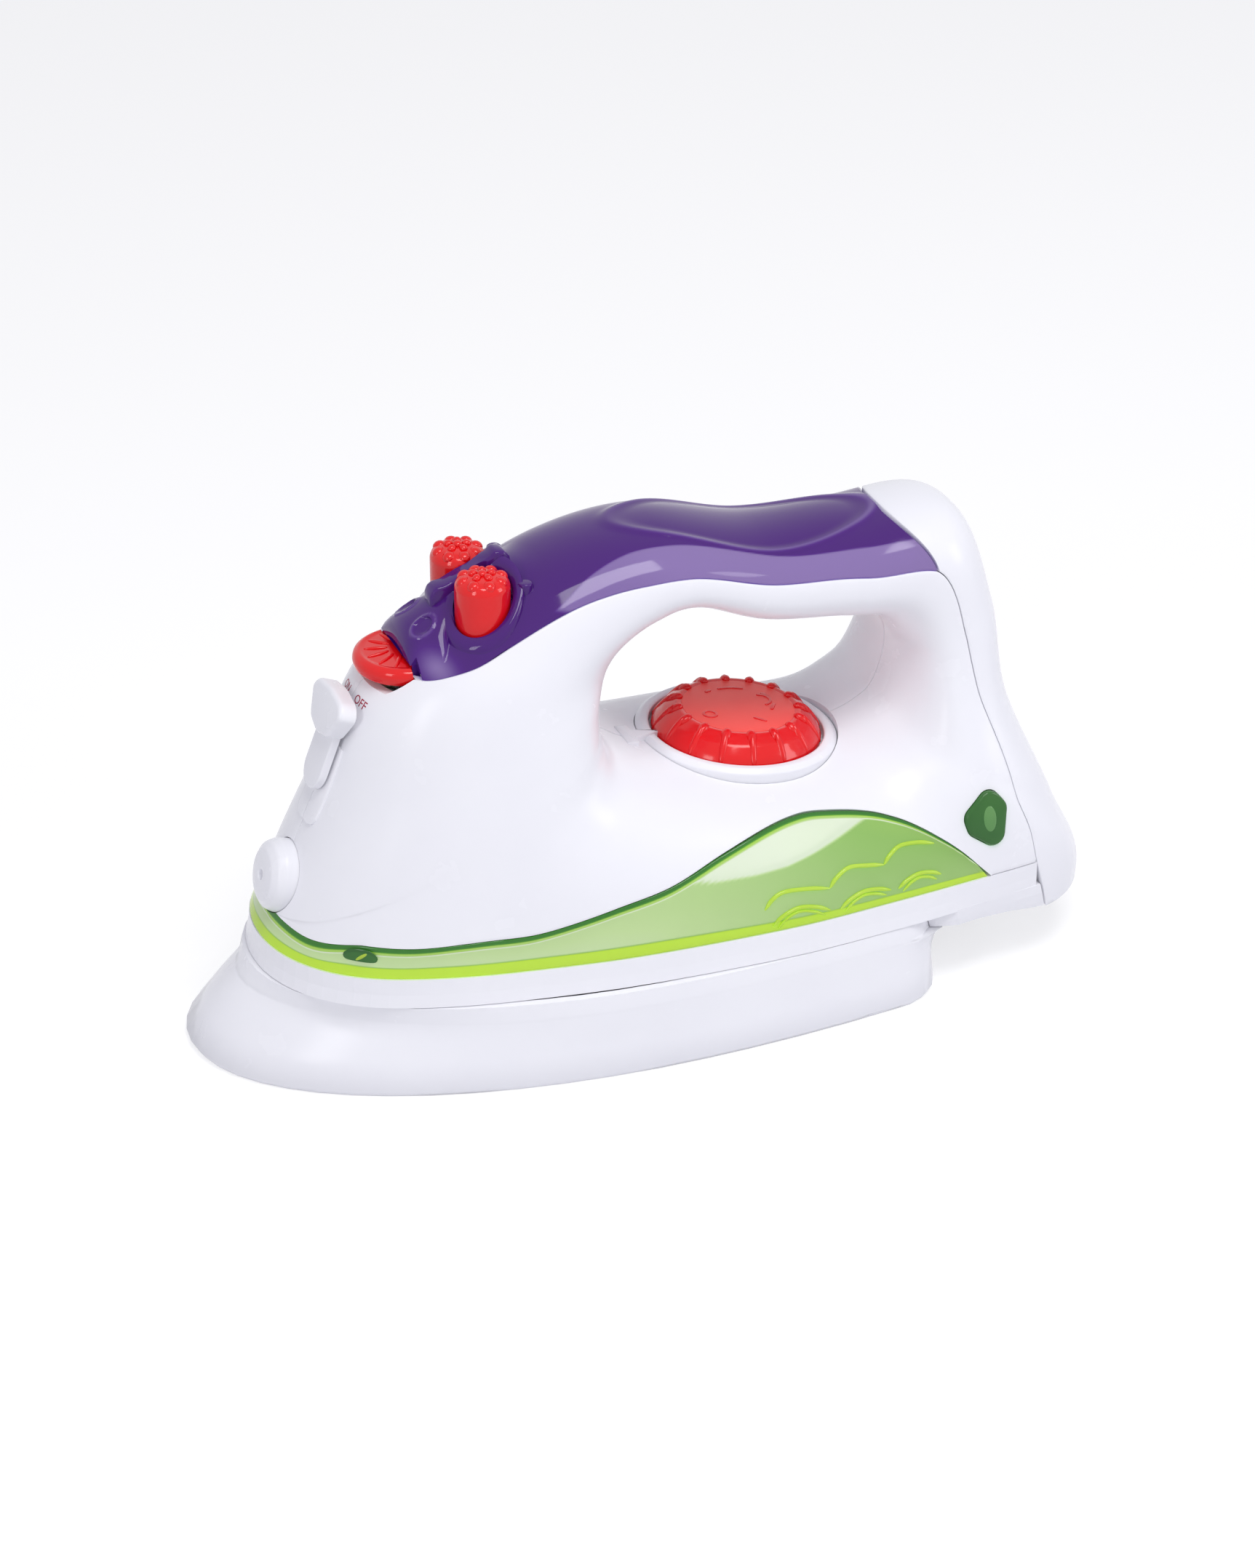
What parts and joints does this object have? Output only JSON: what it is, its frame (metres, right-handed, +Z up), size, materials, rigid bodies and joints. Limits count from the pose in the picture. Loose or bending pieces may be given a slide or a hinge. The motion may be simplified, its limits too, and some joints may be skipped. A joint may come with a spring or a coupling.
{
  "type": "toy iron",
  "caption": "Pretend-play steam iron with a see-through handle cover, tank window, push buttons, turning dial and swinging ON/OFF lever on a flat boat-shaped sole.",
  "frame": {"origin": "centre of the bounding box on the table plane under the sole", "axes": "+X towards the heel, -X towards the nose, +Y to the iron's right side, +Z up"},
  "size_m": [0.217, 0.0996, 0.1156],
  "materials": {
    "white_abs": "glossy",
    "violet_clear": "see-through glossy",
    "lime_clear": "see-through glossy",
    "red_abs": "glossy",
    "steel": "plain",
    "cell_wrap": "satin",
    "board": "satin",
    "lamp_clear": "clear",
    "speaker_black": "matte"
  },
  "bodies": {
    "iron": {"body_left": "white_abs", "body_right": "white_abs", "rear_cover": "white_abs", "base_housing": "white_abs", "sole_plate": "white_abs", "battery_door": "white_abs", "dial_ring": "white_abs", "spray_nozzle": "white_abs", "handle_cover": "violet_clear", "tank_window": "lime_clear", "lens_left": "lime_clear", "lens_right": "lime_clear", "battery_door_screw": "steel", "board_screws": "steel", "button_board_screws": "steel", "body_screws": "steel", "sole_screws": "steel", "battery_springs": "steel", "battery_plates": "steel", "button_spring_left": "steel", "button_spring_right": "steel", "front_button_spring": "steel", "batteries": "cell_wrap", "circuit_board": "board", "button_board": "board", "lamp": "lamp_clear", "speaker": "speaker_black"},
    "button_left_body": {"button_left": "red_abs"},
    "button_right_body": {"button_right": "red_abs"},
    "front_button_body": {"front_button": "red_abs"},
    "lever_body": {"switch_lever": "white_abs", "lever_screw": "steel"},
    "dial_body": {"dial": "red_abs", "dial_washer": "steel", "dial_screw": "steel"}
  },
  "joints": [
    {"name": "button_left_press", "type": "slide", "parent": "iron", "child": "button_left_body", "axis": [0, 0, -1], "range_m": [0, 0.003], "stiffness_N_per_m": 250, "springref_m": -0.001, "deforming": ["button_spring_left"]},
    {"name": "button_right_press", "type": "slide", "parent": "iron", "child": "button_right_body", "axis": [0, 0, -1], "range_m": [0, 0.003], "stiffness_N_per_m": 250, "springref_m": -0.001, "deforming": ["button_spring_right"]},
    {"name": "front_button_tilt", "type": "hinge", "parent": "iron", "child": "front_button_body", "pos_m": [-0.049, 0, 0.08584], "axis": [0, -1, 0], "range_deg": [0, 3.5], "stiffness_Nm_per_rad": 0.06, "springref_deg": -2.86, "deforming": ["front_button_spring"]},
    {"name": "switch_swing", "type": "hinge", "parent": "iron", "child": "lever_body", "pos_m": [-0.07397, 0, 0.06632], "axis": [-0.9321, 0, 0.3622], "range_deg": [-11, 11]},
    {"name": "dial_turn", "type": "hinge", "parent": "iron", "child": "dial_body", "pos_m": [0.02681, 0, 0.05542], "axis": [0.0885, 0, 0.9961], "continuous": true}
  ]
}
